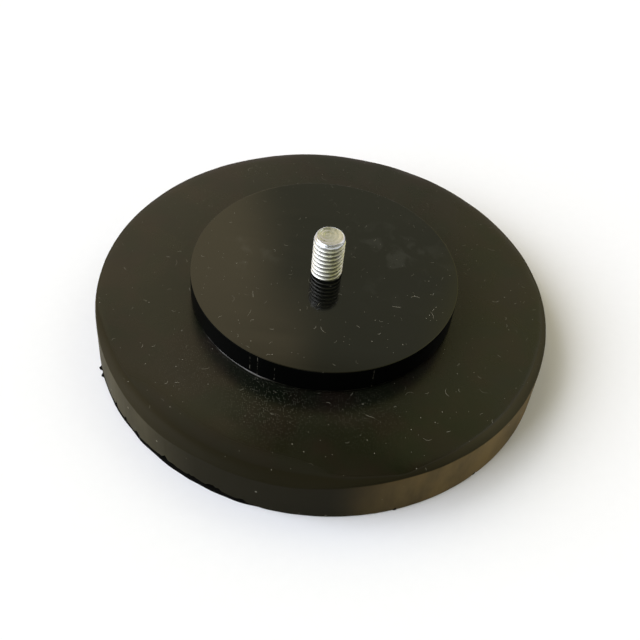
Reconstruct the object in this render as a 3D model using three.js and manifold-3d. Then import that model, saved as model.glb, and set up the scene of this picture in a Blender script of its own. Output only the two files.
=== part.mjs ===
// A rubber-coated holding magnet with a threaded stud and a spacer disc.
// Two rings of small disc magnets sit under a round steel plate. A rubber jacket is moulded round
// them, and a thin rubber skin closes the magnetic face. The stud's head is caught under the plate.
// Millimetres, +Z up. The origin is the centre of the magnetic face.

import * as THREE from "three";
import { mergeVertices } from "three/addons/utils/BufferGeometryUtils.js";
import Module from "manifold-3d";

// Clearances
const POCKET_CLEARANCE = 0.3; // round a piece in its pocket or hole
const FACE_GAP = 0.1; // between two flat faces that lie on each other
const CUT_OVERSHOOT = 0.5; // how far a cut runs past the faces that it opens

// Base skin
const SKIN_RADIUS = 43.6;
const SKIN_THICKNESS = 0.9;
const SKIN_CHAMFER = 0.2;

// Rubber jacket
const JACKET_FOOT_RADIUS = 44;
const JACKET_SHOULDER_RADIUS = 43.8;
const JACKET_EDGE_ROUND = 1.8;
const JACKET_TOP = 10.5;

// Magnets
const MAGNET_RADIUS = 5.5;
const MAGNET_THICKNESS = 4;
const MAGNET_CHAMFER = 0.25;
const MAGNET_RINGS = [
  { name: "outer", count: 12, pitchRadius: 31 },
  { name: "inner", count: 6, pitchRadius: 16 },
];

// Steel plate
const PLATE_RADIUS = 40;
const PLATE_THICKNESS = 3;
const PLATE_CHAMFER = 0.3;

// Stud, M6 coarse
const STUD_RADIUS = 3;
const STUD_PITCH = 1;
const STUD_TOP = 24.9;
const STUD_CHAMFER = 0.7;
const STUD_HEAD_RADIUS = 7;
const STUD_HEAD_THICKNESS = 1.5;
const THREAD_DEPTH = 0.6134 * STUD_PITCH;
const THREAD_FLANK_SLOPE = Math.tan(Math.PI / 6); // half of the 60 degree flank angle
const THREAD_START = 13;
const GROOVE_OVERSIZE = 0.1; // how far the groove's section stands out of the stud

// Spacer disc and the adhesive ring under it
const SPACER_RADIUS = 25.5;
const SPACER_THICKNESS = 5;
const SPACER_CHAMFER = 0.2;
const SPACER_HOLE_RADIUS = STUD_RADIUS + 0.1; // a snug fit on the stud
const ADHESIVE_RADIUS = 25;
const ADHESIVE_HOLE_RADIUS = 4.5;
const ADHESIVE_THICKNESS = 0.5;
const ADHESIVE_EDGE_CHAMFER = 0.1;

// How finely round shapes are divided
const DISC_SEGMENTS = 72;
const MAGNET_SEGMENTS = 24;
const STUD_SEGMENTS = 24;
const EDGE_ROUND_STEPS = 5;

// Heights of the layers, bottom up
const JACKET_BOTTOM = SKIN_THICKNESS + FACE_GAP;
const MAGNET_BOTTOM = JACKET_BOTTOM + FACE_GAP;
const MAGNET_TOP = MAGNET_BOTTOM + MAGNET_THICKNESS;
const PLATE_BOTTOM = MAGNET_TOP + FACE_GAP;
const PLATE_TOP = PLATE_BOTTOM + PLATE_THICKNESS;
const ADHESIVE_BOTTOM = JACKET_TOP + FACE_GAP;
const ADHESIVE_TOP = ADHESIVE_BOTTOM + ADHESIVE_THICKNESS;
const SPACER_BOTTOM = ADHESIVE_TOP + FACE_GAP;
const SPACER_TOP = SPACER_BOTTOM + SPACER_THICKNESS;
const STUD_HOLE_RADIUS = STUD_RADIUS + POCKET_CLEARANCE;

const wasm = await Module();
wasm.setup();

// A closed geometry as a solid that can be cut and joined.
function solidFrom(geometry) {
  const bare = geometry.clone();
  bare.deleteAttribute("normal");
  bare.deleteAttribute("uv");
  const merged = mergeVertices(bare, 1e-4);
  return new wasm.Manifold(
    new wasm.Mesh({
      numProp: 3,
      vertProperties: merged.attributes.position.array,
      triVerts: new Uint32Array(merged.index.array),
    }),
  );
}

function geometryFrom(solid) {
  const { vertProperties, triVerts } = solid.getMesh();
  const geometry = new THREE.BufferGeometry();
  geometry.setAttribute("position", new THREE.BufferAttribute(vertProperties, 3));
  geometry.setIndex(new THREE.BufferAttribute(triVerts, 1));
  geometry.computeVertexNormals();
  return geometry;
}

// A solid of revolution about Z, from [radius, height] points that run up the outside.
function revolve(points, segments) {
  const profile = points.map(([radius, height]) => new THREE.Vector2(radius, height));
  return new THREE.LatheGeometry(profile, segments).rotateX(Math.PI / 2);
}

// A disc with both outer edges chamfered, and a hole where holeRadius is over 0.
function chamferedDisc({ radius, bottom, top, chamfer, holeRadius = 0, segments = DISC_SEGMENTS }) {
  const outside = [
    [holeRadius, bottom],
    [radius - chamfer, bottom],
    [radius, bottom + chamfer],
    [radius, top - chamfer],
    [radius - chamfer, top],
    [holeRadius, top],
  ];
  const profile = holeRadius > 0 ? [...outside, outside[0]] : outside;
  return revolve(profile, segments);
}

// The rounded edge between the jacket's side wall and its top, from the wall upwards.
function jacketEdge() {
  const centreRadius = JACKET_SHOULDER_RADIUS - JACKET_EDGE_ROUND;
  const centreHeight = JACKET_TOP - JACKET_EDGE_ROUND;
  return Array.from({ length: EDGE_ROUND_STEPS + 1 }, (_, step) => {
    const angle = ((Math.PI / 2) * step) / EDGE_ROUND_STEPS;
    return [
      centreRadius + JACKET_EDGE_ROUND * Math.cos(angle),
      centreHeight + JACKET_EDGE_ROUND * Math.sin(angle),
    ];
  });
}

// The jacket before its magnet pockets are cut: drafted outside, with room inside for the plate and
// the stud's head.
function jacketShell() {
  const pocketFloor = PLATE_BOTTOM - FACE_GAP;
  const pocketRoof = PLATE_TOP + FACE_GAP;
  const pocketRadius = PLATE_RADIUS + POCKET_CLEARANCE;
  const headPocketRadius = STUD_HEAD_RADIUS + POCKET_CLEARANCE;
  const headPocketFloor = pocketFloor - STUD_HEAD_THICKNESS - POCKET_CLEARANCE;
  const profile = [
    [0, JACKET_BOTTOM],
    [JACKET_FOOT_RADIUS, JACKET_BOTTOM],
    ...jacketEdge(),
    [STUD_HOLE_RADIUS, JACKET_TOP],
    [STUD_HOLE_RADIUS, pocketRoof],
    [pocketRadius, pocketRoof],
    [pocketRadius, pocketFloor],
    [headPocketRadius, pocketFloor],
    [headPocketRadius, headPocketFloor],
    [0, headPocketFloor],
  ];
  return revolve(profile, DISC_SEGMENTS);
}

// Where each magnet of a ring stands.
function magnetCentres({ count, pitchRadius }) {
  return Array.from({ length: count }, (_, index) => {
    const angle = (2 * Math.PI * index) / count;
    return new THREE.Vector3(pitchRadius * Math.cos(angle), pitchRadius * Math.sin(angle), 0);
  });
}

// The cut for one magnet, from below the jacket up into the plate's pocket.
function magnetPocket(centre) {
  const radius = MAGNET_RADIUS + POCKET_CLEARANCE;
  const bottom = JACKET_BOTTOM - CUT_OVERSHOOT;
  const top = PLATE_BOTTOM + CUT_OVERSHOOT;
  return new THREE.CylinderGeometry(radius, radius, top - bottom, MAGNET_SEGMENTS)
    .rotateX(Math.PI / 2)
    .translate(centre.x, centre.y, (bottom + top) / 2);
}

function rubberJacket() {
  let jacket = solidFrom(jacketShell());
  for (const ring of MAGNET_RINGS) {
    for (const centre of magnetCentres(ring)) {
      jacket = jacket.subtract(solidFrom(magnetPocket(centre)));
    }
  }
  return geometryFrom(jacket);
}

// The stud before its thread is cut: a flat head, a plain shank and a chamfered end.
function studBlank() {
  const headTop = PLATE_BOTTOM - FACE_GAP;
  const headBottom = headTop - STUD_HEAD_THICKNESS;
  const profile = [
    [0, headBottom],
    [STUD_HEAD_RADIUS, headBottom],
    [STUD_HEAD_RADIUS, headTop],
    [STUD_RADIUS, headTop],
    [STUD_RADIUS, STUD_TOP - STUD_CHAMFER],
    [STUD_RADIUS - STUD_CHAMFER, STUD_TOP],
    [0, STUD_TOP],
  ];
  return revolve(profile, STUD_SEGMENTS);
}

// The thread's groove: a V that opens outwards, swept up a right-hand helix, one pitch to the turn.
function threadGroove() {
  const rootRadius = STUD_RADIUS - THREAD_DEPTH;
  const openRadius = STUD_RADIUS + GROOVE_OVERSIZE;
  const halfWidth = (openRadius - rootRadius) * THREAD_FLANK_SLOPE;
  const section = [
    [rootRadius, 0],
    [openRadius, -halfWidth],
    [openRadius, halfWidth],
  ];
  const steps = Math.ceil(((STUD_TOP + STUD_PITCH - THREAD_START) / STUD_PITCH) * STUD_SEGMENTS);
  const positions = [];
  const faces = [];
  for (let step = 0; step <= steps; step++) {
    const angle = (2 * Math.PI * step) / STUD_SEGMENTS;
    const height = THREAD_START + (STUD_PITCH * step) / STUD_SEGMENTS;
    for (const [radius, rise] of section) {
      positions.push(radius * Math.cos(angle), radius * Math.sin(angle), height + rise);
    }
  }
  for (let step = 0; step < steps; step++) {
    for (let side = 0; side < 3; side++) {
      const a = 3 * step + side;
      const b = 3 * step + ((side + 1) % 3);
      faces.push(a, b + 3, b, a, a + 3, b + 3);
    }
  }
  const last = 3 * steps;
  faces.push(0, 1, 2, last, last + 2, last + 1);
  const geometry = new THREE.BufferGeometry();
  geometry.setAttribute("position", new THREE.Float32BufferAttribute(positions, 3));
  geometry.setIndex(faces);
  return geometry;
}

function threadedStud() {
  return geometryFrom(solidFrom(studBlank()).subtract(solidFrom(threadGroove())));
}

const rubber = new THREE.MeshStandardMaterial({ color: 0x26231d, roughness: 0.62, metalness: 0 });
const skinRubber = new THREE.MeshStandardMaterial({ color: 0x171613, roughness: 0.8, metalness: 0 });
const acrylic = new THREE.MeshStandardMaterial({ color: 0x0b0b0b, roughness: 0.08, metalness: 0 });
const adhesive = new THREE.MeshStandardMaterial({ color: 0x2e2c28, roughness: 0.5, metalness: 0 });
const zinc = new THREE.MeshStandardMaterial({ color: 0xd2d0c2, roughness: 0.32, metalness: 1 });
const plateSteel = new THREE.MeshStandardMaterial({ color: 0xa9aaa8, roughness: 0.42, metalness: 1 });
const nickel = new THREE.MeshStandardMaterial({ color: 0xc9c7c0, roughness: 0.18, metalness: 1 });

const magnet = new THREE.Group();

function addPiece(name, geometry, material) {
  const piece = new THREE.Mesh(geometry, material);
  piece.name = name;
  magnet.add(piece);
  return piece;
}

function addMagnetRing(ring) {
  const disc = chamferedDisc({
    radius: MAGNET_RADIUS,
    bottom: MAGNET_BOTTOM,
    top: MAGNET_TOP,
    chamfer: MAGNET_CHAMFER,
    segments: MAGNET_SEGMENTS,
  });
  magnetCentres(ring).forEach((centre, index) => {
    const number = String(index + 1).padStart(2, "0");
    addPiece(`magnet_${ring.name}_${number}`, disc, nickel).position.copy(centre);
  });
}

addPiece(
  "base_skin",
  chamferedDisc({ radius: SKIN_RADIUS, bottom: 0, top: SKIN_THICKNESS, chamfer: SKIN_CHAMFER }),
  skinRubber,
);
addPiece("rubber_jacket", rubberJacket(), rubber);
MAGNET_RINGS.forEach(addMagnetRing);
addPiece(
  "steel_plate",
  chamferedDisc({
    radius: PLATE_RADIUS,
    bottom: PLATE_BOTTOM,
    top: PLATE_TOP,
    chamfer: PLATE_CHAMFER,
    holeRadius: STUD_HOLE_RADIUS,
  }),
  plateSteel,
);
addPiece("threaded_stud", threadedStud(), zinc);
addPiece(
  "spacer_adhesive",
  chamferedDisc({
    radius: ADHESIVE_RADIUS,
    bottom: ADHESIVE_BOTTOM,
    top: ADHESIVE_TOP,
    chamfer: ADHESIVE_EDGE_CHAMFER,
    holeRadius: ADHESIVE_HOLE_RADIUS,
  }),
  adhesive,
);
addPiece(
  "spacer_disc",
  chamferedDisc({
    radius: SPACER_RADIUS,
    bottom: SPACER_BOTTOM,
    top: SPACER_TOP,
    chamfer: SPACER_CHAMFER,
    holeRadius: SPACER_HOLE_RADIUS,
  }),
  acrylic,
);

export default magnet;
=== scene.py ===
"""The looks of a rubber-coated holding magnet with a spacer disc and an M6 stud.

Everything is in metres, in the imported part's own frame: +Z up the stud, origin at the centre of the
magnetic face.
"""

import math

import bpy
from mathutils import Matrix, Vector, noise


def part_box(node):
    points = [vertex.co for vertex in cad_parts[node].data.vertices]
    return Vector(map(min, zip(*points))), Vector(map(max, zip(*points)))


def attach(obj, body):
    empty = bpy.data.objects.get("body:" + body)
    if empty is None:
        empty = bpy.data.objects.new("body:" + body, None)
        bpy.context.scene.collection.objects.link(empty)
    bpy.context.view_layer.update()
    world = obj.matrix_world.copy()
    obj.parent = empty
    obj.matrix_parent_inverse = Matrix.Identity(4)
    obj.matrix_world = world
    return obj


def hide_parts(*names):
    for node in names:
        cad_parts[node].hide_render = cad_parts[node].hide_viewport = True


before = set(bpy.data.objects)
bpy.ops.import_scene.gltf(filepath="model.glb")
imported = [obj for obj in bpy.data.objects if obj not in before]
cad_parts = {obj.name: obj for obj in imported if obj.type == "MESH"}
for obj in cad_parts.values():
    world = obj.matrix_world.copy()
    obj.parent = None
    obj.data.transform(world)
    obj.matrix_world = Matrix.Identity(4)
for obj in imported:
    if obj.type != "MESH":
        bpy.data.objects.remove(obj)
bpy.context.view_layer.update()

MM = 0.001
TAU = 2 * math.pi

# ---------------------------------------------------------------- sizes taken from the frame

SKIN_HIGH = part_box("base_skin")[1]
JACKET_LOW, JACKET_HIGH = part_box("rubber_jacket")
PLATE_LOW, PLATE_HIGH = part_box("steel_plate")
STUD_LOW, STUD_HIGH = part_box("threaded_stud")
ADHESIVE_LOW, ADHESIVE_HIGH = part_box("spacer_adhesive")
SPACER_LOW, SPACER_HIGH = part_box("spacer_disc")
STUD_HOLE = 3.3 * MM  # through the jacket and the plate
FLAT_GAP = 0.1 * MM  # between the flat faces of pieces that lie on each other
POCKET_GAP = 0.3 * MM  # round a piece that sits in a pocket

# ---------------------------------------------------------------- mesh tools

CREASE = 35  # edges sharper than this stay crisp, degrees


def ring_noise(angle, waves, seed):
    """Smooth noise from -1 to 1 round a circle, with about that many waves to the turn."""
    reach = waves / TAU
    return noise.noise(Vector((reach * math.cos(angle), reach * math.sin(angle), seed)))


def band(angle, start, end, soft):
    """1 from the start angle to the end angle, falling smoothly to 0 over soft beyond. Degrees."""
    middle, half = (start + end) / 2, (end - start) / 2
    away = abs((math.degrees(angle) - middle + 180) % 360 - 180) - half
    share = min(1.0, max(0.0, 1 - away / soft))
    return share * share * (3 - 2 * share)


def revolve(name, section, segments, crease=CREASE):
    """A closed mesh turned about Z. section(angle) gives (radius, height) points up the outside.

    A section that starts off the axis closes on itself.
    """
    points, rings = [], []
    sections = [section(TAU * step / segments) for step in range(segments)]
    for index, (first_radius, first_height) in enumerate(sections[0]):
        if first_radius == 0:
            rings.append([len(points)])
            points.append((0, 0, first_height))
            continue
        rings.append(list(range(len(points), len(points) + segments)))
        for step in range(segments):
            angle = TAU * step / segments
            radius, height = sections[step][index]
            points.append((radius * math.cos(angle), radius * math.sin(angle), height))
    closed = sections[0][0][0] > 0
    faces = []
    for index in range(len(rings) if closed else len(rings) - 1):
        low, high = rings[index], rings[(index + 1) % len(rings)]
        for step in range(segments):
            after = (step + 1) % segments
            if len(low) == 1:
                faces.append((low[0], high[after], high[step]))
            elif len(high) == 1:
                faces.append((low[step], low[after], high[0]))
            else:
                faces.append((low[step], low[after], high[after], high[step]))
    mesh = bpy.data.meshes.new(name)
    mesh.from_pydata(points, [], faces)
    mesh.validate()
    smooth(mesh, crease)
    piece = bpy.data.objects.new(name, mesh)
    bpy.context.scene.collection.objects.link(piece)
    return piece


def smooth(mesh, crease):
    """Smooth shading, with edges sharper than crease degrees kept crisp."""
    mesh.shade_smooth()
    mesh.set_sharp_from_angle(angle=math.radians(crease))


def arc(centre, radius, start, end, steps):
    """(radius, height) points along an arc of a profile, from start to end degrees."""
    angles = [math.radians(start + (end - start) * step / steps) for step in range(steps + 1)]
    return [(centre[0] + radius * math.cos(a), centre[1] + radius * math.sin(a)) for a in angles]


def line(start, end, steps):
    """(radius, height) points from start up to but not including end."""
    shares = [step / steps for step in range(steps)]
    return [tuple(a + (b - a) * share for a, b in zip(start, end)) for share in shares]


def finish_piece(piece, material, slot, *nodes):
    """Gives the piece its one material, hangs it on the root body and hides the CAD nodes that it
    stands for.
    """
    piece.data.materials.clear()
    piece.data.materials.append(material)
    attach(piece, "root")
    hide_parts(*nodes)


# ---------------------------------------------------------------- material tools

FIBRE_BEND = 1.2  # at x along it, a fibre bows sideways by up to this times x * x / length


class Graph:
    """A node tree. Each call adds a node and gives back the socket that it makes."""

    def __init__(self, tree):
        self.tree = tree

    def node(self, kind, inputs, **settings):
        made = self.tree.nodes.new(kind)
        for key, value in settings.items():
            setattr(made, key, value)
        for key, value in inputs.items():
            if isinstance(value, bpy.types.NodeSocket):
                self.tree.links.new(value, made.inputs[key])
            else:
                made.inputs[key].default_value = value
        return made

    def math(self, operation, a, b=0.0):
        return self.node("ShaderNodeMath", {0: a, 1: b}, operation=operation).outputs[0]

    def product(self, first, *others):
        for other in others:
            first = self.math("MULTIPLY", first, other)
        return first

    def without(self, share):
        """What a share leaves of 1."""
        return self.math("SUBTRACT", 1.0, share)

    def strongest(self, first, *others):
        for other in others:
            first = self.math("MAXIMUM", first, other)
        return first

    def fade(self, value, start, end, low=0.0, high=1.0):
        """A smooth step from low to high as value goes from start to end."""
        inputs = {"Value": value, "From Min": start, "From Max": end, "To Min": low, "To Max": high}
        made = self.node("ShaderNodeMapRange", inputs, interpolation_type="SMOOTHSTEP")
        return made.outputs["Result"]

    def vector(self, operation, a, b, output="Vector"):
        return self.node("ShaderNodeVectorMath", {0: a, 1: b}, operation=operation).outputs[output]


class Paint(Graph):
    """A procedural material."""

    def __init__(self, name, **shader_values):
        self.material = bpy.data.materials.new(name)
        self.material.use_nodes = True
        super().__init__(self.material.node_tree)
        self.shader = self.tree.nodes["Principled BSDF"]
        self.place = self.tree.nodes.new("ShaderNodeTexCoord").outputs["Object"]
        for socket, value in shader_values.items():
            self.shader.inputs[socket.replace("_", " ")].default_value = value

    def noise(self, scale, detail=2.0, roughness=0.5, place=None, distortion=0.0):
        inputs = {
            "Vector": place or self.place,
            "Scale": scale,
            "Detail": detail,
            "Roughness": roughness,
            "Distortion": distortion,
        }
        return self.node("ShaderNodeTexNoise", inputs).outputs["Fac"]

    def cells(self, scale, place=None, flat=True):
        """Voronoi cells. Gives the distance to the cell's point and a random number for each cell."""
        made = self.node(
            "ShaderNodeTexVoronoi",
            {"Vector": place or self.place, "Scale": scale},
            voronoi_dimensions="2D" if flat else "3D",
        )
        split = self.node("ShaderNodeSeparateColor", {"Color": made.outputs["Color"]})
        return made.outputs["Distance"], split.outputs["Red"]

    def mix(self, share, a, b):
        made = self.node("ShaderNodeMix", {0: share, 6: a, 7: b}, data_type="RGBA")
        return made.outputs[2]

    def turned(self, angle, stretch, shift=(0, 0, 0)):
        """The place turned about Z by degrees, then scaled."""
        inputs = {
            "Vector": self.place,
            "Rotation": (0, 0, math.radians(angle)),
            "Scale": stretch,
            "Location": shift,
        }
        return self.node("ShaderNodeMapping", inputs).outputs["Vector"]

    def axis_distance(self):
        """How far a point is from the Z axis, in metres."""
        flat = self.vector("MULTIPLY", self.place, (1, 1, 0))
        return self.node("ShaderNodeVectorMath", {0: flat}, operation="LENGTH").outputs["Value"]

    def height(self):
        return self.node("ShaderNodeSeparateXYZ", {"Vector": self.place}).outputs["Z"]

    def level(self, none=0.90, full=0.95):
        """1 on faces that look up, 0 on walls. none and full are the upward parts of the normal."""
        normal = self.node("ShaderNodeTexCoord", {}).outputs["Normal"]
        up = self.node("ShaderNodeSeparateXYZ", {"Vector": normal}).outputs["Z"]
        return self.fade(up, none, full)

    def spread(self, direction, start, end):
        """Fades from 0 to 1 as a point goes from start to end along a level direction, in degrees."""
        a = math.radians(direction)
        along = self.vector("DOT_PRODUCT", self.place, (math.cos(a), math.sin(a), 0), "Value")
        return self.fade(along, start, end)

    def near(self, centre, reach):
        """1 at a point, fading to 0 at reach from it."""
        return self.fade(self.vector("DISTANCE", self.place, centre, "Value"), reach, 0.0)

    def bump(self, height, distance, below=None):
        inputs = {"Height": height, "Distance": distance}
        if below:
            inputs["Normal"] = below
        return self.node("ShaderNodeBump", inputs).outputs["Normal"]

    def set(self, socket, value):
        self.tree.links.new(value, self.shader.inputs[socket])

    def dots(self, scale, size, share, place=None, flat=True):
        """Round specks: size in cells, on that share of the cells. flat suits a level surface."""
        distance, pick = self.cells(scale, place, flat)
        dot = self.fade(distance, size, size * 0.5)
        return self.product(dot, self.math("LESS_THAN", pick, share))

    def fibres(self, scale, length, width, share, shift):
        """Lint fibres on a level surface, one to a cell at most, each turned and bent its own way."""
        place = self.turned(0, (1, 1, 1), shift)
        cell = self.node(
            "ShaderNodeTexVoronoi",
            {"Vector": place, "Scale": scale},
            voronoi_dimensions="2D",
        ).outputs
        chance = self.node("ShaderNodeSeparateColor", {"Color": cell["Color"]}).outputs
        local = self.vector("SUBTRACT", place, cell["Position"])
        turn = {"Vector": local, "Angle": self.product(chance["Green"], TAU)}
        turned = self.node("ShaderNodeVectorRotate", turn, rotation_type="Z_AXIS").outputs["Vector"]
        axes = self.node("ShaderNodeSeparateXYZ", {"Vector": turned}).outputs
        bend = self.fade(chance["Blue"], 0, 1, -FIBRE_BEND / length, FIBRE_BEND / length)
        bow = self.product(bend, self.product(axes["X"], axes["X"]))
        across = self.math("ABSOLUTE", self.math("ADD", axes["Y"], bow))
        along = self.math("ABSOLUTE", axes["X"])
        narrow = self.fade(across, width / 2, width / 4)
        short = self.fade(along, length / 2, length / 3)
        fibre = self.product(narrow, short)
        strength = self.fade(chance["Green"], 0, 1, 0.3, 1.1)
        return self.product(fibre, strength, self.math("LESS_THAN", chance["Red"], share))


LINT = (0.30, 0.29, 0.24, 1)
FIBRE_WIDTH = 0.08 * MM


def lint(paint, density):
    """Dust and short fibres lying on a level surface, fewer at the back. density scales them all."""
    dust = paint.dots(900, 0.07, 0.06 * density)
    crumbs = paint.dots(420, 0.04, 0.07 * density, paint.turned(31, (1, 1, 1), (0.4, 0.2, 0)))
    long_fibres = paint.fibres(300, 1.9 * MM, FIBRE_WIDTH, 0.035 * density, (0.013, 0.031, 0))
    short_fibres = paint.fibres(520, 0.9 * MM, FIBRE_WIDTH, 0.09 * density, (0.047, 0.009, 0))
    everywhere = paint.strongest(
        paint.product(dust, 0.4),
        paint.product(crumbs, 0.8),
        paint.product(long_fibres, 0.6),
        paint.product(short_fibres, 0.5),
    )
    fewer_behind = paint.fade(paint.spread(-90, -25 * MM, 10 * MM), 0, 1, 0.45, 1)
    return paint.product(everywhere, fewer_behind)


# ---------------------------------------------------------------- materials

# Upward parts of the jacket's normal: the gloss fades in between the first two, as the top gets
# level, and the wall fades out between the second two.
GLOSSY = (0.972, 0.998)
WALL = (0.25, 0.45)


def clean_tone(paint):
    """Nearly black rubber, cloudy, with faint green and reddish stains."""
    cloud = paint.fade(paint.noise(38, 4, 0.6), 0.35, 0.7)
    tone = paint.mix(cloud, (0.0040, 0.0038, 0.0026, 1), (0.0070, 0.0062, 0.0040, 1))
    stain = paint.fade(paint.noise(130, 2, 0.5), 0.38, 0.62)
    stained = paint.mix(stain, (0.0028, 0.0058, 0.0028, 1), (0.0080, 0.0052, 0.0040, 1))
    return paint.mix(0.5, tone, stained)


def dull_tone_painted_light_and_shade(paint):
    """The dull rubber of the rim and wall, with painted light that makes it lighter on the right and
    painted shade that makes it darker at the front.
    """
    # painted light on the right side and painted shade at the front
    right = paint.spread(0, 8 * MM, 36 * MM)
    tone = paint.mix(right, (0.0240, 0.0200, 0.0100, 1), (0.0400, 0.0360, 0.0200, 1))
    front = paint.spread(270, 26 * MM, 43 * MM)
    return paint.mix(front, tone, (0.0097, 0.0084, 0.0032, 1))


def wall_dust_and_painted_light(paint, wall, colour):
    """The colour with brown dust on the wall's front right and beige dust on its left, in streaks.
    Both are partly real dust and partly painted light, lighter where light falls on the wall.
    """
    streaks = paint.noise(120, 4, 0.65, paint.turned(0, (1, 1, 0.4)))
    streaky = paint.fade(streaks, 0.15, 0.75, 0.3, 1)
    # brown on the right and beige on the left: partly dust, partly painted light on the wall's lit
    # sides
    brown = paint.product(wall, paint.spread(-36, 29 * MM, 45 * MM), streaky)
    beige = paint.product(wall, paint.spread(201, 31 * MM, 43 * MM), streaky)
    colour = paint.mix(brown, colour, (0.170, 0.117, 0.042, 1))
    return paint.mix(beige, colour, (0.059, 0.052, 0.030, 1))


def front_grit(paint):
    """Fine grit on the jacket's top, in front of the spacer."""
    top = JACKET_HIGH.z
    gritty = paint.strongest(
        paint.near((-7 * MM, -28 * MM, top), 13 * MM),
        paint.product(paint.near((-20 * MM, -21 * MM, top), 13 * MM), 0.6),
        paint.product(paint.near((9 * MM, -28 * MM, top), 12 * MM), 0.6),
    )
    return paint.product(paint.dots(3200, 0.16, 0.35), gritty, 0.45)


def jacket_rubber():
    """A glossy top with lint and grit on it, and a dull, dusty rim and wall whose tone and dust carry
    painted light and shade.
    """
    paint = Paint("jacket_rubber")
    glossy = paint.level(*GLOSSY)
    wall = paint.without(paint.level(*WALL))
    rubber = paint.mix(glossy, dull_tone_painted_light_and_shade(paint), clean_tone(paint))
    on_top = paint.product(paint.strongest(lint(paint, 1.0), front_grit(paint)), paint.level())
    on_wall = paint.product(paint.dots(650, 0.16, 0.16, flat=False), wall, 0.55)
    specks = paint.strongest(on_top, on_wall)
    paint.set("Base Color", paint.mix(specks, wall_dust_and_painted_light(paint, wall, rubber), LINT))
    smudge = paint.fade(paint.noise(90, 3, 0.55, distortion=0.6), 0.3, 0.75, 0.25, 0.33)
    rubbed = paint.product(paint.spread(-85, 16 * MM, 34 * MM), 0.08)
    dull = paint.fade(glossy, 0, 1, 0.6, 0)
    paint.set("Roughness", paint.strongest(paint.math("SUBTRACT", smudge, rubbed), specks, dull))
    paint.set("Specular IOR Level", paint.fade(glossy, 0, 1, 0.05, 0.37))
    coarse = paint.bump(paint.noise(900, 2, 0.5), 0.010 * MM)
    paint.set("Normal", paint.bump(paint.noise(2600, 3, 0.6), 0.006 * MM, coarse))
    return paint.material


def skin_rubber():
    """Nearly black on the side, as painted shade for the dark band where the jacket's lip is torn
    away; scuffed dark grey on the magnetic face.
    """
    paint = Paint("skin_rubber")
    face = paint.without(paint.level(-0.97, -0.85))
    patch = paint.noise(180, 4, 0.6)
    # the side's near-black tone is painted shade for the dark band under the torn lip
    side = paint.mix(patch, (0.0008, 0.0008, 0.0007, 1), (0.0040, 0.0038, 0.0031, 1))
    scuff = paint.strongest(
        paint.fade(paint.noise(260, 4, 0.6, paint.turned(24, (0.06, 1, 1))), 0.56, 0.70),
        paint.fade(paint.noise(310, 4, 0.6, paint.turned(-57, (0.05, 1, 1))), 0.60, 0.74),
    )
    filings = paint.dots(1300, 0.12, 0.10)
    ground = paint.mix(patch, (0.016, 0.016, 0.0145, 1), (0.030, 0.029, 0.026, 1))
    scratched = paint.product(paint.strongest(scuff, filings), 0.6)
    worn = paint.mix(scratched, ground, (0.105, 0.10, 0.09, 1))
    paint.set("Base Color", paint.mix(face, side, worn))
    matt = paint.fade(patch, 0.3, 0.7, 0.75, 0.95)
    paint.set("Roughness", paint.math("SUBTRACT", matt, paint.product(face, 0.3)))
    paint.set("Specular IOR Level", paint.fade(face, 0, 1, 0.02, 0.4))
    torn = paint.bump(paint.noise(1400, 4, 0.65), 0.03 * MM)
    paint.set("Normal", paint.bump(paint.noise(3500, 2), 0.01 * MM, torn))
    return paint.material


SAW_MARKS = (254, 294, 243, 246.5)  # where the spacer's wall shows an upright mark, degrees
SAW_MARK_HALF = 0.10 * MM  # half the width of a mark


def saw_marks(paint):
    """Light, broken, upright marks on the front of the spacer's wall."""
    marks = []
    for angle in SAW_MARKS:
        before = paint.spread(angle + 90, -SAW_MARK_HALF, 0)
        after = paint.spread(angle - 90, -SAW_MARK_HALF, 0)
        marks.append(paint.product(before, after))
    front = paint.spread(270, 10 * MM, 12 * MM)
    broken = paint.fade(paint.noise(1500, 2), 0.45, 0.6, 0.0, 0.32)
    return paint.product(paint.strongest(*marks), front, broken)


def hazy(paint):
    """Smears where the disc was handled, over a faint haze."""
    smear = paint.fade(paint.noise(260, 3, 0.55, distortion=0.5), 0.50, 0.68)
    handled = paint.strongest(
        paint.near((12 * MM, 5 * MM, SPACER_HIGH.z), 17 * MM),
        paint.near((-15 * MM, 3 * MM, SPACER_HIGH.z), 9 * MM),
    )
    return paint.math("ADD", paint.product(smear, handled), paint.product(paint.noise(60, 4), 0.25))


def black_acrylic():
    """A glossy black top with lint and smears, and a darker sawn wall."""
    paint = Paint("black_acrylic", IOR=1.49)
    level = paint.level()
    wall = paint.without(level)
    haze = paint.product(hazy(paint), level)
    tone = paint.mix(haze, (0.0008, 0.0010, 0.0009, 1), (0.0120, 0.0126, 0.0112, 1))
    specks = paint.product(lint(paint, 1.1), level)
    sawn = paint.product(saw_marks(paint), wall)
    paint.set("Base Color", paint.mix(paint.strongest(specks, sawn), tone, LINT))
    wiped = paint.noise(35, 3, 0.6, paint.turned(25, (1, 5, 1)))
    polish = paint.fade(wiped, 0.35, 0.75, 0.07, 0.13)
    paint.set("Roughness", paint.strongest(polish, specks, paint.product(wall, 0.38)))
    paint.set("Specular IOR Level", paint.fade(level, 0, 1, 0.02, 0.5))
    hairline = paint.noise(600, 2, 0.5, paint.turned(-35, (0.03, 1, 1)))
    paint.set("Normal", paint.bump(hairline, 0.0015 * MM))
    return paint.material


def adhesive_film():
    """Dark, patchy, half-glossy adhesive."""
    paint = Paint("adhesive", Specular_IOR_Level=0.6)
    patch = paint.noise(350, 3)
    paint.set("Base Color", paint.mix(patch, (0.008, 0.0075, 0.006, 1), (0.032, 0.030, 0.025, 1)))
    paint.set("Roughness", paint.fade(patch, 0.3, 0.7, 0.25, 0.45))
    paint.set("Normal", paint.bump(paint.noise(1500, 3), 0.03 * MM))
    return paint.material


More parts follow.
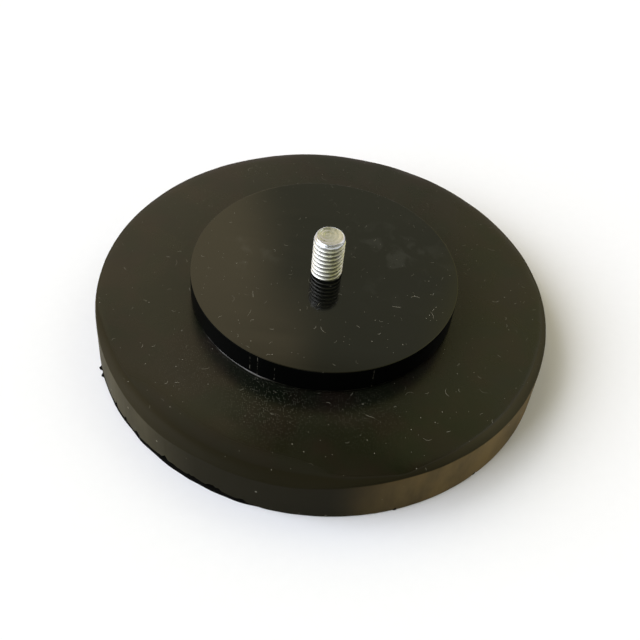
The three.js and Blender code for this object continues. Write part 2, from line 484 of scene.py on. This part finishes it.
def zinc_plate():
    """Satin zinc, with painted shade in the roots and under the crests, and a yellow tint on the right
    half.
    """
    paint = Paint("zinc_plated_steel", Metallic=1.0)
    # painted shade in the thread's roots, where shade falls
    root = paint.fade(paint.axis_distance(), 2.55 * MM, 2.40 * MM)
    threaded = paint.fade(paint.height(), STUD_HIGH.z - 0.5 * MM, STUD_HIGH.z - 0.9 * MM)
    # painted shade on faces that look down, under the crests
    beneath = paint.without(paint.level(-0.50, 0.05))
    painted_shade = paint.product(paint.strongest(root, beneath), threaded)
    patch = paint.fade(paint.noise(420, 3, 0.6), 0.30, 0.60)
    sideways = paint.node("ShaderNodeSeparateXYZ", {"Vector": paint.place}).outputs["X"]
    tint = paint.product(patch, paint.fade(sideways, -1.2 * MM, 1.2 * MM), threaded)
    bright = paint.mix(tint, (0.72, 0.73, 0.69, 1), (0.68, 0.69, 0.43, 1))
    bright = paint.mix(threaded, (0.62, 0.65, 0.69, 1), bright)
    # the dark colour here is painted shade, not dirt
    paint.set("Base Color", paint.mix(painted_shade, bright, (0.055, 0.052, 0.042, 1)))
    wear = paint.noise(1500, 3, 0.6)
    rolled = paint.fade(wear, 0.3, 0.7, 0.44, 0.58)
    paint.set("Roughness", paint.math("SUBTRACT", rolled, paint.fade(threaded, 0, 1, 0.20, 0)))
    paint.set("Normal", paint.bump(paint.noise(2400, 3, 0.6), 0.012 * MM))
    return paint.material


def plate_steel():
    """Bare rolled steel with a drawn grain."""
    paint = Paint("plate_steel", Metallic=1.0)
    drawn = paint.noise(400, 3, 0.6, paint.turned(12, (0.05, 1, 1)))
    blotch = paint.noise(60, 4, 0.6)
    paint.set("Base Color", paint.mix(blotch, (0.42, 0.42, 0.41, 1), (0.56, 0.55, 0.53, 1)))
    paint.set("Roughness", paint.fade(drawn, 0.3, 0.7, 0.32, 0.48))
    paint.set("Normal", paint.bump(drawn, 0.01 * MM))
    return paint.material


def nickel_plate():
    """Bright nickel with faint blotches."""
    paint = Paint("nickel_plate", Metallic=1.0)
    blotch = paint.noise(220, 3, 0.6)
    paint.set("Base Color", paint.mix(blotch, (0.60, 0.58, 0.53, 1), (0.70, 0.67, 0.61, 1)))
    paint.set("Roughness", paint.fade(blotch, 0.3, 0.7, 0.14, 0.26))
    paint.set("Normal", paint.bump(paint.noise(1800, 2), 0.004 * MM))
    return paint.material


# ---------------------------------------------------------------- rubber jacket

JACKET_SEGMENTS = 960
JACKET_CREASE = 40  # degrees
JACKET_FOOT = JACKET_HIGH.x
JACKET_SHOULDER = JACKET_FOOT - 0.2 * MM
CORNER_ROUND = 0.5 * MM
SAG_WIDTH = 12 * MM  # the top sinks gently towards its edge over this width
SAG_POWER = 1.6  # 1 would be a straight slope
DROP_WIDTH = 2.2 * MM  # and steeply over this width
DROP_POWER = 3
# How far inwards from the rounded corner the points of the sunken edge lie.
CROWN_STEPS = [DROP_WIDTH * step / 12 for step in range(1, 13)]
CROWN_STEPS += [DROP_WIDTH + step * MM for step in range(1, 10)] + [SAG_WIDTH]
LIP_LOW = 0.14 * MM  # how far above the magnetic face the jacket's lip ends
LIP_THICKNESS = 0.26 * MM
TEAR = (208, 254)  # the lip is torn away between these angles, degrees
TEAR_DEEPEST = (236, 250)
DENT = 232  # where the edge of the top is dented, degrees
NICKS = ((314, 1.1, 0.6 * MM), (292, 0.7, 0.3 * MM))  # angle, half width, height


def torn_edge(angle):
    """The height of the lip's lower edge: even, but for a ragged tear at the front left and nicks."""
    torn = band(angle, *TEAR, 9)
    ragged = max(0.0, 0.5 + 1.1 * ring_noise(angle, 90, 4.2) + 1.2 * ring_noise(angle, 300, 9.1))
    edge = LIP_LOW + 0.04 * MM * ring_noise(angle, 150, 2.5)
    edge += torn * (0.50 * MM + 0.6 * MM * band(angle, *TEAR_DEEPEST, 10) + 0.6 * MM * ragged * ragged)
    for centre, half_width, height in NICKS:
        edge += height * band(angle, centre, centre, half_width)
    return edge


def edge_drop(angle):
    """How far the top falls steeply right at its edge: most at a dent at the front left."""
    even = 0.1 * MM + 0.5 * MM * band(angle, 212, 262, 20) + 0.35 * MM * band(angle, 318, 340, 25)
    dent = 0.7 * MM * band(angle, DENT, DENT, 18)
    return even + dent + 0.10 * MM * ring_noise(angle, 40, 5.1)


def edge_sag(angle):
    """How far the top sinks gently towards its edge: most at the front left."""
    hollow = 0.45 * MM * band(angle, 225, 330, 40) + 1.05 * MM * band(angle, 230, 264, 35)
    return hollow + 0.15 * MM + 0.08 * MM * ring_noise(angle, 20, 8.8)


def wall_wave(angle):
    """How far the wall's upper edge stands out from its true place. Below 0 it stands in."""
    return 0.07 * MM * ring_noise(angle, 22, 1.3) + 0.03 * MM * ring_noise(angle, 70, 6.6) - 0.05 * MM


def rim_points(angle, shoulder):
    """The rounded corner, then the sunken edge of the top, from the wall inwards."""
    top, sag, drop = JACKET_HIGH.z, edge_sag(angle), edge_drop(angle)
    corner = (shoulder - CORNER_ROUND, top - sag - drop - CORNER_ROUND)
    slope = math.atan(SAG_POWER * sag / SAG_WIDTH + DROP_POWER * drop / DROP_WIDTH)
    rim = arc(corner, CORNER_ROUND, 0, 90 - math.degrees(slope), 8)
    outside, height = rim[-1]
    fall = top - height
    sag *= fall / (sag + drop)
    drop = fall - sag
    for inward in CROWN_STEPS:
        gentle = sag * (1 - inward / SAG_WIDTH) ** SAG_POWER
        steep = drop * max(0.0, 1 - inward / DROP_WIDTH) ** DROP_POWER
        rim.append((outside - inward, top - gentle - steep))
    return rim


def pocket_points():
    """The stud hole, the plate's pocket and the pocket of the stud's head, from the top down."""
    top, soft = JACKET_HIGH.z, 0.2 * MM
    roof, floor = PLATE_HIGH.z + FLAT_GAP, PLATE_LOW.z - FLAT_GAP
    pocket = PLATE_HIGH.x + POCKET_GAP
    head_pocket = STUD_HIGH.x + POCKET_GAP
    head_floor = STUD_LOW.z - POCKET_GAP
    return [
        (STUD_HOLE + soft, top),
        (STUD_HOLE, top - soft),
        (STUD_HOLE, roof),
        (pocket, roof),
        (pocket, floor),
        (head_pocket, floor),
        (head_pocket, head_floor),
        (0, head_floor),
    ]


def jacket_section(angle):
    """The jacket's section: underside, lip, wall, rim, level top and pockets."""
    floor, lip = JACKET_LOW.z, torn_edge(angle)
    foot = JACKET_FOOT + wall_wave(angle) * 0.5
    rim = rim_points(angle, JACKET_SHOULDER + wall_wave(angle))
    torn_away = min(1.0, max(0.0, (lip - floor + 0.2 * MM) / (0.4 * MM)))
    inset = LIP_THICKNESS + 0.6 * MM * torn_away
    return [
        (0, floor),
        (foot - inset, floor),
        (foot - LIP_THICKNESS, lip + 0.02 * MM),
        (foot - 0.1 * MM, lip),
        *line((foot - 0.01 * MM, lip + 0.08 * MM), rim[0], 12),
        *rim,
        (18 * MM, JACKET_HIGH.z),
        *pocket_points(),
    ]


def magnet_nodes():
    return sorted(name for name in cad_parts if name.startswith("magnet_"))


def cut_magnet_pockets(jacket):
    """Opens a round pocket for each magnet through the jacket's floor."""
    points, faces = [], []
    sides = 48
    for name in magnet_nodes():
        low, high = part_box(name)
        centre = (low + high) / 2
        radius = (high.x - low.x) / 2 + POCKET_GAP
        start = len(points)
        for height in (JACKET_LOW.z - 0.5 * MM, PLATE_LOW.z + 0.5 * MM):
            for step in range(sides):
                angle = TAU * step / sides
                points.append(
                    (centre.x + radius * math.cos(angle), centre.y + radius * math.sin(angle), height)
                )
        for step in range(sides):
            after = (step + 1) % sides
            faces.append((start + step, start + after, start + sides + after, start + sides + step))
        faces.append(tuple(start + step for step in reversed(range(sides))))
        faces.append(tuple(start + sides + step for step in range(sides)))
    mesh = bpy.data.meshes.new("pocket_cutter")
    mesh.from_pydata(points, [], faces)
    cutter = bpy.data.objects.new("pocket_cutter", mesh)
    bpy.context.scene.collection.objects.link(cutter)
    cut = jacket.modifiers.new("pockets", "BOOLEAN")
    cut.object, cut.operation, cut.solver = cutter, "DIFFERENCE", "EXACT"
    apply_modifiers(jacket)
    bpy.data.objects.remove(cutter)


def apply_modifiers(piece):
    graph = bpy.context.evaluated_depsgraph_get()
    graph.update()
    made = bpy.data.meshes.new_from_object(piece.evaluated_get(graph))
    piece.modifiers.clear()
    piece.data = made


def make_jacket():
    jacket = revolve("jacket_moulded", jacket_section, JACKET_SEGMENTS, crease=JACKET_CREASE)
    cut_magnet_pockets(jacket)
    smooth(jacket.data, JACKET_CREASE)
    finish_piece(jacket, jacket_rubber(), "jacket_rubber", "rubber_jacket")


# ---------------------------------------------------------------- base skin

# The teeth of flash: angle, half width, reach.
TEETH = ((203.0, 0.7, 0.50 * MM), (205.4, 0.6, 0.42 * MM), (199.0, 0.9, 0.25 * MM))
SKIN_RIM = 3 * MM  # the skin is flat up to this far from its edge


def skin_section(angle):
    """The skin's section: flat, with a rounded lower edge, ragged where the jacket is torn away."""
    top = SKIN_HIGH.z
    at_nicks = [band(angle, centre, centre, 2 * half_width) for centre, half_width, height in NICKS]
    at_tear = band(angle, TEAR[0] - 4, TEAR[1] + 4, 8)
    bare = max(at_tear, *at_nicks)
    edge = SKIN_HIGH.x - 0.06 * MM + bare * (0.46 * MM + 0.12 * MM * ring_noise(angle, 90, 3.3))
    tooth = edge + sum(reach * band(angle, centre, centre, half) for centre, half, reach in TEETH)
    lid = top - bare * 0.1 * MM * (1 + ring_noise(angle, 160, 7.4))
    soft = 0.12 * MM
    return [
        (0, 0),
        (edge - SKIN_RIM, 0),
        *arc((tooth - soft, soft), soft, -90, 0, 4),
        (tooth - 0.02 * MM, 0.42 * MM),
        (edge - 0.02 * MM, 0.46 * MM),
        (edge - 0.06 * MM, lid - 0.08 * MM),
        (edge - 0.15 * MM, lid),
        (edge - SKIN_RIM, top),
        (0, top),
    ]


def make_skin():
    skin = revolve("skin_trimmed", skin_section, JACKET_SEGMENTS, crease=50)
    finish_piece(skin, skin_rubber(), "skin_rubber", "base_skin")


# ---------------------------------------------------------------- spacer disc and adhesive

SPACER_OFF_CENTRE = Vector((-0.24, 0.25)) * MM  # the disc was cut a little off centre
SPACER_EDGE = SPACER_HIGH.x + 0.1 * MM  # it was cut a little large
SPACER_HOLE = 3.04 * MM
SPACER_BEVEL = 0.05 * MM
ADHESIVE_HOLE = 4.5 * MM


def make_spacer():
    low, top = SPACER_LOW.z, SPACER_HIGH.z
    edge, hole, bevel = SPACER_EDGE, SPACER_HOLE, SPACER_BEVEL
    profile = [
        (hole + bevel, low),
        *line((hole + 4 * bevel, low), (edge - 4 * bevel, low), 6),
        *arc((edge - bevel, low + bevel), bevel, -90, 0, 4),
        *line((edge, low + 4 * bevel), (edge, top - 4 * bevel), 6),
        *arc((edge - bevel, top - bevel), bevel, 0, 90, 4),
        *line((edge - 4 * bevel, top), (hole + 4 * bevel, top), 6),
        (hole + bevel, top),
        (hole, top - bevel),
        (hole, low + bevel),
    ]
    spacer = revolve("spacer_acrylic", lambda angle: profile, 384, crease=30)
    for vertex in spacer.data.vertices:
        share = min(1.0, vertex.co.xy.length / edge)
        vertex.co.xy += SPACER_OFF_CENTRE * share**4
    finish_piece(spacer, black_acrylic(), "black_acrylic", "spacer_disc")


def adhesive_section(angle):
    """Adhesive squeezed out unevenly, furthest at the front left."""
    low, top = ADHESIVE_LOW.z, ADHESIVE_HIGH.z
    half = (top - low) / 2
    out = 0.5 * MM * band(angle, 220, 244, 22) + 0.12 * MM * ring_noise(angle, 60, 2.2)
    edge = ADHESIVE_HIGH.x + out
    return [
        (ADHESIVE_HOLE, low),
        (edge - half, low),
        *arc((edge - half, low + half), half, -80, 80, 8),
        (edge - half, top),
        (ADHESIVE_HOLE, top),
    ]


def make_adhesive():
    bead = revolve("adhesive_bead", adhesive_section, 480)
    finish_piece(bead, adhesive_film(), "adhesive", "spacer_adhesive")


# ---------------------------------------------------------------- stud

PITCH = 1.0 * MM
STUD_RADIUS = 2.98 * MM
ROOT_RADIUS = STUD_RADIUS - 0.6134 * PITCH  # the depth of an ISO metric outside thread
ROOT_SHARE = 0.12  # this share of half a turn's height is root
FLANK_SHARE = 0.62  # and this share is flank. The rest is crest
THREAD_START = 13 * MM  # the shank is plain below this height
END_ROUNDING = 1.5 * MM  # the end gets smaller over this length
END_NARROWER = 0.38 * MM  # how much the rounded end is smaller in radius
ROWS_PER_PITCH = 14
END_RINGS = 24  # rings of points across the end face
END_BEVEL = 0.05 * MM  # the width of the bevel round the end face
END_BEVEL_HEIGHT = 0.03 * MM
END_DISH = 0.16 * MM  # how far the middle of the end face is sunk


def thread_radius(height, angle):
    """The rolled thread's radius: rounded crests and roots, running out into the chamfered end."""
    turn = (height - THREAD_START) / PITCH - angle / TAU
    wave = 1 - abs(2 * (turn - math.floor(turn)) - 1)
    flank = min(1.0, max(0.0, (wave - ROOT_SHARE) / FLANK_SHARE))
    rounded = 0.4 * flank + 0.6 * flank * flank * (3 - 2 * flank)
    radius = ROOT_RADIUS + (STUD_RADIUS - ROOT_RADIUS) * rounded
    uneven = 1 + 0.006 * noise.noise(Vector((angle * 2, height / (0.4 * MM), 5.5)))
    burr = 0.14 * MM * noise.noise(Vector((math.cos(angle) * 1.3, math.sin(angle) * 1.3, 3.1)))
    share = max(0.0, height + burr - (STUD_HIGH.z - END_ROUNDING)) / END_ROUNDING
    envelope = STUD_RADIUS - END_NARROWER * share * share
    return min(radius * uneven, envelope)


def stud_end(angle):
    """The sheared and slightly dished end face, with off-centre turning marks, weaker on one side."""
    cut = 0.05 * MM * (0.2 + 0.8 * band(angle, 120, 220, 70))
    rim = STUD_RADIUS - END_NARROWER - END_BEVEL
    points = []
    for step in range(1, END_RINGS):
        share = 1 - step / END_RINGS
        dish = END_DISH * (1 - share * share)
        off_centre = math.hypot(share * math.cos(angle) + 0.2, share * math.sin(angle) - 0.2)
        marks = cut * share * math.cos(off_centre * TAU * 3)
        points.append((rim * share, STUD_HIGH.z - 0.02 * MM - dish + marks))
    return [(rim, STUD_HIGH.z - END_BEVEL_HEIGHT), (rim - END_BEVEL, STUD_HIGH.z), *points]


def stud_section(angle):
    """The stud's section: head, plain shank, threaded rows and the dished end."""
    head_top = PLATE_LOW.z - FLAT_GAP
    head, low = STUD_HIGH.x, STUD_LOW.z
    thread_top = STUD_HIGH.z - END_BEVEL_HEIGHT
    rows = round((thread_top - THREAD_START) / PITCH * ROWS_PER_PITCH)
    heights = [THREAD_START + (thread_top - THREAD_START) * row / rows for row in range(1, rows)]
    return [
        (0, low),
        *arc((head - 0.3 * MM, low + 0.3 * MM), 0.3 * MM, -90, 0, 3),
        *arc((head - 0.2 * MM, head_top - 0.2 * MM), 0.2 * MM, 0, 90, 3),
        (STUD_RADIUS + 0.2 * MM, head_top),
        (STUD_RADIUS, head_top + 0.2 * MM),
        (STUD_RADIUS, THREAD_START),
        *[(thread_radius(height, angle), height) for height in heights],
        *stud_end(angle),
        (0, STUD_HIGH.z - END_DISH - 0.01 * MM),
    ]


def make_stud():
    stud = revolve("stud_rolled_thread", stud_section, 96, crease=50)
    finish_piece(stud, zinc_plate(), "zinc_plated_steel", "threaded_stud")


# ---------------------------------------------------------------- hidden steel and magnets


def make_plate():
    edge, low, top = PLATE_HIGH.x, PLATE_LOW.z, PLATE_HIGH.z
    rolled, burr = 0.5 * MM, 0.12 * MM
    profile = [
        (STUD_HOLE + burr, low),
        *arc((edge - burr, low + burr), burr, -90, 0, 2),
        *arc((edge - rolled, top - rolled), rolled, 0, 90, 6),
        *arc((STUD_HOLE + rolled, top - rolled), rolled, 90, 180, 6),
        (STUD_HOLE, low + burr),
    ]
    plate = revolve("yoke_plate", lambda angle: profile, 240)
    finish_piece(plate, plate_steel(), "plate_steel", "steel_plate")


def make_magnets():
    nickel = nickel_plate()
    for name in magnet_nodes():
        low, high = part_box(name)
        radius = (high.x - low.x) / 2
        centre = (low + high) / 2
        half = (high.z - low.z) / 2
        soft = 0.3 * MM
        profile = [
            (0, -half),
            *arc((radius - soft, soft - half), soft, -90, 0, 4),
            *arc((radius - soft, half - soft), soft, 0, 90, 4),
            (0, half),
        ]
        disc = revolve(name.replace("magnet_", "sintered_disc_"), lambda angle: profile, 64)
        disc.location = centre
        finish_piece(disc, nickel, "nickel_plate", name)


# ---------------------------------------------------------------- stage, light and camera

FLOOR_RADIUS = 2.0
FLOOR_OPENING = SKIN_HIGH.x - 4 * MM
FLOOR_BACK = -0.5 * MM  # the height of the sheet's lower face


def make_floor():
    """A wide round sheet. It is open under the object, so that the magnetic face can be looked at."""
    profile = [
        (FLOOR_OPENING, FLOOR_BACK),
        (FLOOR_RADIUS, FLOOR_BACK),
        (FLOOR_RADIUS, 0),
        (FLOOR_OPENING, 0),
    ]
    floor = revolve("floor", lambda angle: profile, 120)
    paint = Paint("floor_paper", Specular_IOR_Level=0.1, Roughness=0.9)
    fleck = paint.noise(500, 2)
    paint.set("Base Color", paint.mix(fleck, (0.87, 0.89, 0.94, 1), (0.89, 0.91, 0.96, 1)))
    floor.data.materials.append(paint.material)


# Each soft light of the studio: azimuth from and to, elevation from and to, colour. Azimuth 0 is +Y,
# 90 is +X, in degrees. A light that goes on past 180 has a limit of 190, so that no seam shows there.
STUDIO = (
    (-140, -72, 8, 60, (5.0, 5.1, 5.5)),  # the main light, from the left
    (-72, 12, 28, 51, (0.35, 0.36, 0.30)),  # the wall behind the object
    (-72, -6.8, 28, 41, (0.68, 0.52, 0.29)),  # a warm window in it, whose side slants in three steps
    (-72, -5, 41, 47, (0.72, 0.55, 0.31)),
    (-72, -1.5, 47, 51, (0.70, 0.53, 0.30)),
    (-72, -9, 51, 62, (0.84, 0.76, 0.52)),  # the upper part of the window
    (-72, -20, 62, 72, (0.72, 0.66, 0.44)),  # and its top
    (12, 38, 28, 52, (0.68, 0.63, 0.30)),  # a dim yellow wall, right of the middle
    (12, 40, 52, 64, (0.43, 0.44, 0.22)),  # and its upper part
    (42, 72, 28, 60, (1.4, 1.4, 1.4)),  # a small window behind to the right
    (-72, 72, 2, 28, (0.66, 0.54, 0.58)),  # the low far wall of the room
    (-190, 190, 84, 95, (1.1, 1.2, 1.5)),  # the ceiling
    (-190, -140, 8, 76, (0.22, 0.22, 0.22)),  # the room behind the camera
    (72, 190, 8, 76, (0.22, 0.22, 0.22)),  # and to the right
    (-190, 190, -3, 6, (0.62, 0.64, 0.70)),  # the foot of the walls
    (-190, 190, -95, -3, (0.75, 0.78, 0.90)),  # pale ground beyond the floor
)
AMBIENT = (0.12, 0.10, 0.01)  # from everywhere
SOFT_EDGE = 2.5  # half the width over which a light fades out, degrees


def make_studio():
    """The world's light: soft-edged boxes of colour round the object, each given in STUDIO."""
    world = bpy.data.worlds.new("studio")
    world.use_nodes = True
    bpy.context.scene.world = world
    sky = Graph(world.node_tree)
    ray = sky.node("ShaderNodeTexCoord", {}).outputs["Generated"]
    axes = sky.node("ShaderNodeSeparateXYZ", {"Vector": ray}).outputs
    azimuth = sky.math("ARCTAN2", axes["X"], axes["Y"])
    elevation = sky.math("ARCSINE", axes["Z"])
    total = AMBIENT
    for left, right, low, high, colour in STUDIO:
        edges = ((azimuth, left, right), (elevation, low, high))
        sides = []
        for value, start, end in edges:
            for limit, outward in ((start, -1), (end, 1)):
                dark = math.radians(limit + outward * SOFT_EDGE)
                lit = math.radians(limit - outward * SOFT_EDGE)
                sides.append(sky.fade(value, dark, lit))
        glow = sky.vector("SCALE", colour, (0, 0, 0))
        sky.tree.links.new(sky.product(*sides), glow.node.inputs["Scale"])
        total = sky.vector("ADD", total, glow)
    sky.tree.links.new(total, world.node_tree.nodes["Background"].inputs["Color"])


# The camera looks down on the object from in front, rolled a little.
CAMERA_PLACE = Vector((-0.14, -124.1, 136.8)) * MM
CAMERA_PITCH = 47.38  # below the horizon, degrees
CAMERA_ROLL = 6.53
CAMERA_LENS = 50.9  # on a sensor 36 mm wide


def make_camera():
    camera = bpy.data.objects.new("camera", bpy.data.cameras.new("camera"))
    bpy.context.scene.collection.objects.link(camera)
    camera.data.lens = CAMERA_LENS
    camera.data.clip_start = 0.005
    pitch = Matrix.Rotation(math.radians(90 - CAMERA_PITCH), 4, "X")
    roll = Matrix.Rotation(math.radians(CAMERA_ROLL), 4, "Z")
    camera.matrix_world = Matrix.Translation(CAMERA_PLACE) @ pitch @ roll
    bpy.context.scene.camera = camera


make_skin()
make_jacket()
make_magnets()
make_plate()
make_adhesive()
make_spacer()
make_stud()
make_floor()
make_studio()
make_camera()
bpy.context.scene.view_settings.view_transform = "Standard"
